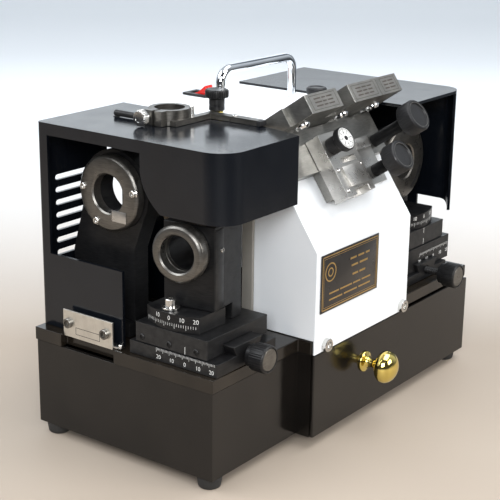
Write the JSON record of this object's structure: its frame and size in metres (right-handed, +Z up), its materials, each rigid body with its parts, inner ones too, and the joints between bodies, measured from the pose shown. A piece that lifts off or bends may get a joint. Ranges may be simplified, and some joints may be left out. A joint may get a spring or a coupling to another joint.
{
  "type": "tool grinder",
  "caption": "Bench-top end mill and drill grinder: hooded wheel at each end, tool slides with socket rings, sloped tool-setting fixture and a drawer in the base.",
  "frame": {"origin": "centre of the bounding box's bottom face, on the table under the feet", "axes": "+X along the spindle from the left end to the right end, +Y from the drawer front to the back, +Z up"},
  "size_m": [0.288, 0.18, 0.2335],
  "materials": {
    "gloss_black": "gloss black enamel with a slight orange peel",
    "hood_black": "gloss black enamel, smoother on the hoods",
    "white_powder": "fine-textured white powder coat",
    "black_oxide": "black oxide over ground steel, bright at the edges",
    "rubber": "moulded black rubber",
    "brass": "polished brass",
    "black_plastic": "moulded black phenolic plastic",
    "bright_steel": "bright machined steel",
    "chrome": "mirror chrome plate",
    "red_plastic": "glossy translucent red plastic",
    "motor_grey": "satin grey paint",
    "abrasive": "resin-bonded abrasive",
    "satin_steel": "satin nickel plate",
    "grey_steel": "warm grey ground tool steel"
  },
  "bodies": {
    "frame": {"base_box": "gloss_black", "top_plate": "gloss_black", "foot_left_front": "rubber", "foot_left_back": "rubber", "foot_right_front": "rubber", "foot_right_back": "rubber", "body_shell": "white_powder", "rear_panel": "white_powder", "power_inlet": "black_plastic", "nameplate": "black_oxide", "body_screw_left": "bright_steel", "body_screw_right": "bright_steel", "carry_handle": "chrome", "switch_bezel": "black_plastic", "motor": "motor_grey", "motor_cradle": "black_oxide", "left_hood": "hood_black", "hood_latch": "satin_steel", "guard_strip": "satin_steel", "right_hood": "hood_black", "left_bracket": "black_oxide", "left_way": "black_oxide", "right_way": "black_oxide", "port_clamp": "grey_steel", "plunger_seat": "brass", "setting_base": "grey_steel", "setting_comb": "grey_steel"},
    "drawer": {"drawer": "gloss_black", "drawer_knob": "brass"},
    "spindle": {"spindle": "bright_steel", "left_wheel": "abrasive", "right_wheel": "abrasive", "left_wheel_nut": "bright_steel", "right_wheel_nut": "bright_steel"},
    "switch_rocker": {"switch_rocker": "red_plastic"},
    "upper_socket": {"upper_socket": "grey_steel"},
    "left_carriage": {"left_carriage": "black_oxide", "left_feed_nut": "brass"},
    "left_feed_screw": {"left_feed_screw": "black_oxide"},
    "left_swivel": {"left_swivel": "black_oxide", "left_clamp_screw": "bright_steel", "left_column": "black_oxide", "lower_sleeve": "grey_steel", "lower_socket": "grey_steel"},
    "right_cross_slide": {"right_cross_slide": "black_oxide", "right_feed_nut": "brass"},
    "right_feed_screw": {"right_feed_screw": "black_oxide"},
    "right_carriage": {"right_carriage": "black_oxide"},
    "right_swivel": {"right_swivel": "black_oxide", "right_column": "black_oxide", "right_socket": "grey_steel"},
    "port_thumbscrew": {"port_thumbscrew": "bright_steel"},
    "index_plunger": {"index_plunger": "black_oxide"},
    "comb_lock_knob": {"comb_lock_knob": "black_plastic"},
    "setting_slide": {"setting_slide": "grey_steel"},
    "setting_dial": {"setting_dial": "satin_steel"},
    "slide_knob": {"slide_knob": "black_plastic"},
    "comb_knob": {"comb_knob": "black_plastic"}
  },
  "joints": [
    {"name": "drawer_slide", "type": "slide", "parent": "frame", "child": "drawer", "axis": [0, -1, 0], "range_m": [0, 0.085]},
    {"name": "spindle_spin", "type": "hinge", "parent": "frame", "child": "spindle", "pos_m": [0, 0.013, 0.151], "axis": [1, 0, 0], "continuous": true},
    {"name": "rocker_tilt", "type": "hinge", "parent": "frame", "child": "switch_rocker", "pos_m": [0.0025, 0.0725, 0.2035], "axis": [1, 0, 0], "range_deg": [0, 17]},
    {"name": "upper_socket_turn", "type": "hinge", "parent": "frame", "child": "upper_socket", "pos_m": [-0.1205, 0.0438, 0.1632], "axis": [1, 0, 0], "range_deg": [-15, 15]},
    {"name": "left_slide", "type": "slide", "parent": "frame", "child": "left_carriage", "axis": [0, 1, 0], "range_m": [-0.008, 0.012]},
    {"name": "left_feed_turn", "type": "hinge", "parent": "frame", "child": "left_feed_screw", "pos_m": [-0.11, -0.063, 0.079], "axis": [0, 1, 0], "range_deg": [-1921, 2881]},
    {"name": "left_swivel_turn", "type": "hinge", "parent": "left_carriage", "child": "left_swivel", "pos_m": [-0.094, -0.016, 0.098], "axis": [0, 0, 1], "range_deg": [-15, 15]},
    {"name": "right_slide", "type": "slide", "parent": "frame", "child": "right_cross_slide", "axis": [0, 1, 0], "range_m": [-0.008, 0.006]},
    {"name": "right_feed_turn", "type": "hinge", "parent": "frame", "child": "right_feed_screw", "pos_m": [0.098, -0.076, 0.079], "axis": [0, 1, 0], "range_deg": [-1921, 1441]},
    {"name": "right_carriage_slide", "type": "slide", "parent": "right_cross_slide", "child": "right_carriage", "axis": [1, 0, 0], "range_m": [-0.003, 0.004]},
    {"name": "right_swivel_turn", "type": "hinge", "parent": "right_carriage", "child": "right_swivel", "pos_m": [0.098, -0.008, 0.115], "axis": [0, 0, 1], "range_deg": [-8, 8]},
    {"name": "thumbscrew_turn", "type": "hinge", "parent": "frame", "child": "port_thumbscrew", "pos_m": [-0.106, 0.0303, 0.2094], "axis": [1, 0, 0], "range_deg": [-360, 360]},
    {"name": "plunger_lift", "type": "slide", "parent": "frame", "child": "index_plunger", "axis": [0, 0, 1], "range_m": [0, 0.006], "stiffness_N_per_m": 200, "springref_m": -0.002},
    {"name": "comb_lock_turn", "type": "hinge", "parent": "frame", "child": "comb_lock_knob", "pos_m": [0.031, -0.0032, 0.208], "axis": [0, 0, 1], "range_deg": [-360, 360]},
    {"name": "setting_slide_move", "type": "slide", "parent": "frame", "child": "setting_slide", "axis": [0, 0.5626, 0.8267], "range_m": [-0.01, 0.007]},
    {"name": "dial_turn", "type": "hinge", "parent": "setting_slide", "child": "setting_dial", "pos_m": [-0.022, -0.05571, 0.19184], "axis": [0, -0.8267, 0.5626], "range_deg": [-170, 170]},
    {"name": "slide_knob_turn", "type": "hinge", "parent": "setting_slide", "child": "slide_knob", "pos_m": [0.017, -0.07167, 0.17549], "axis": [0, -0.8267, 0.5626], "range_deg": [-360, 360]},
    {"name": "comb_knob_turn", "type": "hinge", "parent": "frame", "child": "comb_knob", "pos_m": [0.041, -0.06455, 0.19483], "axis": [0, -0.8267, 0.5626], "range_deg": [-360, 360]}
  ],
  "couplings": [
    {"joint": "left_feed_turn", "follows": "left_slide", "rad_per_m": 4188.8},
    {"joint": "right_feed_turn", "follows": "right_slide", "rad_per_m": 4188.8}
  ]
}
